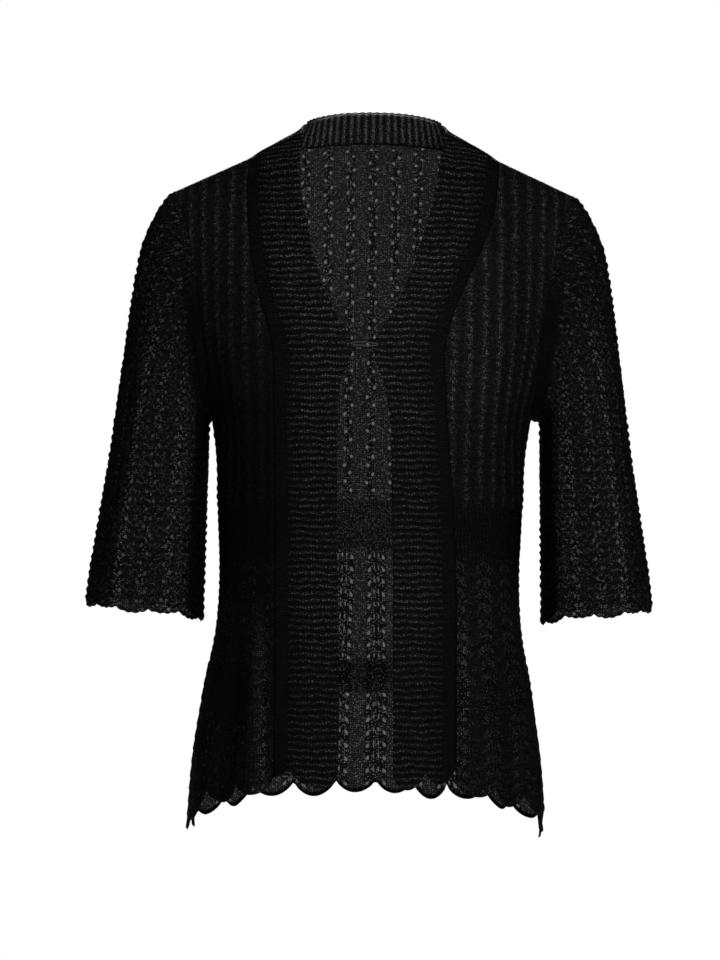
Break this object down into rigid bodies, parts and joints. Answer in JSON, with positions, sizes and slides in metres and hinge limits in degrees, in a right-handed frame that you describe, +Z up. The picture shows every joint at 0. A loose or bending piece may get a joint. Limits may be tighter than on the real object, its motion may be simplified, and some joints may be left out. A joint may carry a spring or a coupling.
{
  "type": "cardigan",
  "caption": "Open lace-knit cardigan with elbow sleeves, a ribbed front band that stands up behind the neck, and a scalloped hem, filled out as worn.",
  "frame": {"origin": "midway between the neck ends of the two shoulder seams, where the wearer's shoulders hold the garment", "axes": "+Z up, the front faces -Y, and +X is the wearer's left"},
  "size_m": [0.536, 0.2513, 0.7008],
  "materials": {
    "lace_knit": "matt black yarn knitted in openwork columns",
    "rib_knit": "matt black yarn knitted in close ribs",
    "thread": "black sewing thread",
    "hook_wire": "satin black wire"
  },
  "bodies": {
    "root": {"back": "lace_knit", "front_right": "lace_knit", "front_left": "lace_knit", "sleeve_right": "lace_knit", "sleeve_left": "lace_knit", "front_band": "rib_knit", "thread_loop": "thread", "hook": "hook_wire"}
  },
  "joints": []
}
